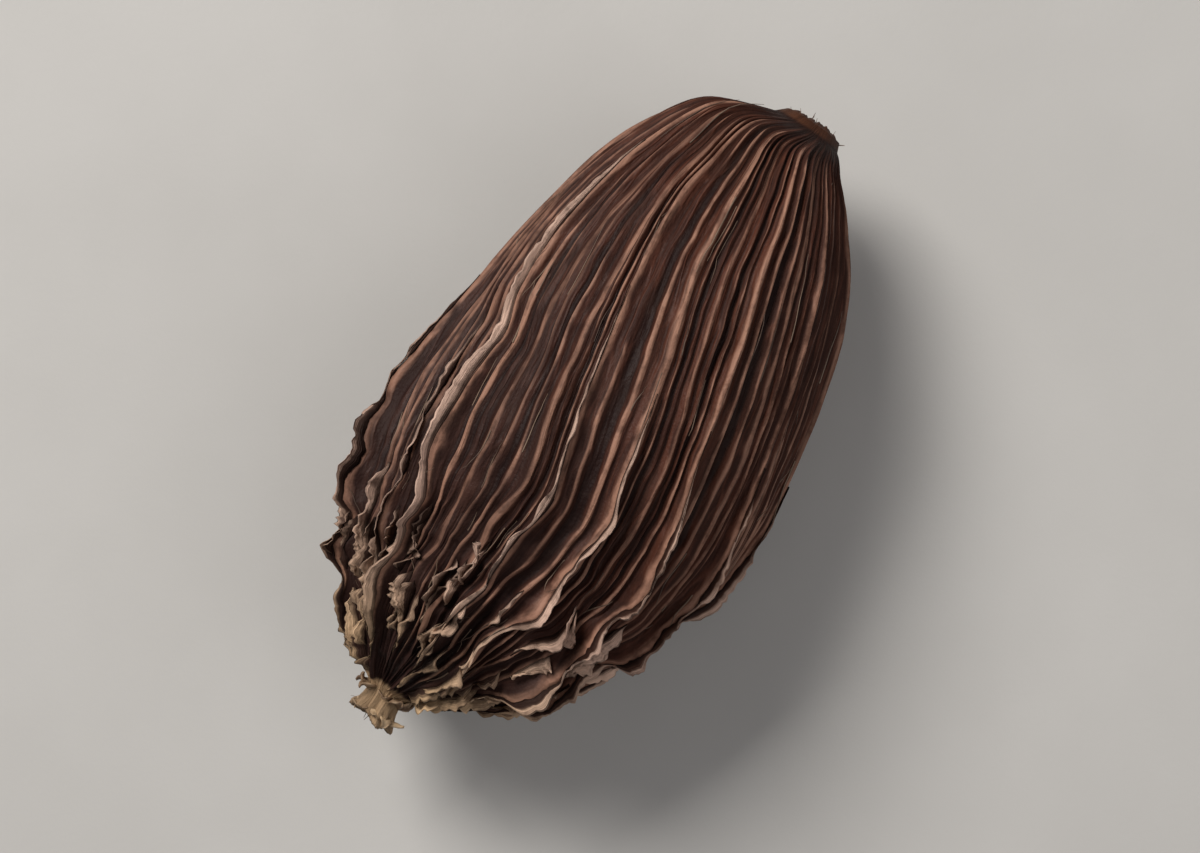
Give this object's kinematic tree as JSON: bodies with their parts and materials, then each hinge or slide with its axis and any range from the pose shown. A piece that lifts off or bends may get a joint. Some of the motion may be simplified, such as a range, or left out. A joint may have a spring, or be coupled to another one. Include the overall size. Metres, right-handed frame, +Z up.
{
  "type": "black cardamom pod",
  "caption": "Whole dried black cardamom pod: a blunt oval husk with lengthwise ribs that rise into wavy, toothed wings towards its withered tip, lying on its side.",
  "frame": {"origin": "middle of the pod's box in X and Y, on the surface that it lies on", "axes": "+X along the pod from its stalk scar to its withered tip, +Y across it, +Z up"},
  "size_m": [0.025, 0.0136, 0.0114],
  "materials": {
    "husk": "matte, dark brown, fibrous dried husk"
  },
  "bodies": {
    "root": {"pod": "husk"}
  },
  "joints": []
}
